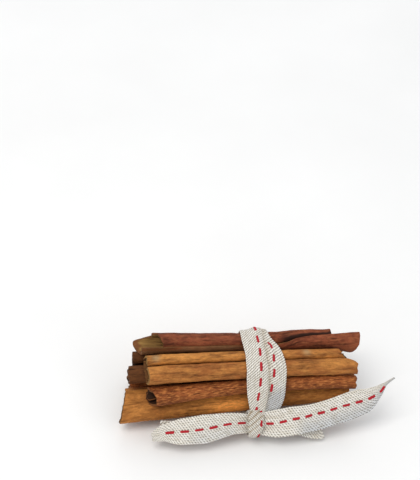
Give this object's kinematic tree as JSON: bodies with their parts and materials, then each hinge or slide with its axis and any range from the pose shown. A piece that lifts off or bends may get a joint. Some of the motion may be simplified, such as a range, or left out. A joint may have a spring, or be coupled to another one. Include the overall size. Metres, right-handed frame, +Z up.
{
  "type": "bundle of cinnamon sticks",
  "caption": "Bundle of rolled cinnamon bark sticks tied round the middle with a stitched linen ribbon and a bow.",
  "frame": {"origin": "middle of the bounding box at the level of the surface that the bundle lies on", "axes": "+X along the sticks toward the long free end of the ribbon, +Y away from the bow, +Z up"},
  "size_m": [0.0926, 0.038, 0.0278],
  "materials": {
    "bark_red": "matt reddish brown cinnamon bark",
    "bark_tan": "matt orange-tan cinnamon bark",
    "bark_brown": "matt tan-brown cinnamon bark",
    "bark_dark": "matt dark brown cinnamon bark",
    "ribbon_linen": "coarse off-white twill with a red running stitch"
  },
  "bodies": {
    "root": {"stick_top": "bark_red", "stick_front_upper": "bark_tan", "stick_front_middle": "bark_red", "stick_front_lower": "bark_brown", "stick_core_front": "bark_dark", "stick_core_back": "bark_dark", "stick_core_lower": "bark_brown", "stick_bottom": "bark_tan", "stick_bottom_back": "bark_brown", "stick_back": "bark_tan", "ribbon": "ribbon_linen"}
  },
  "joints": []
}
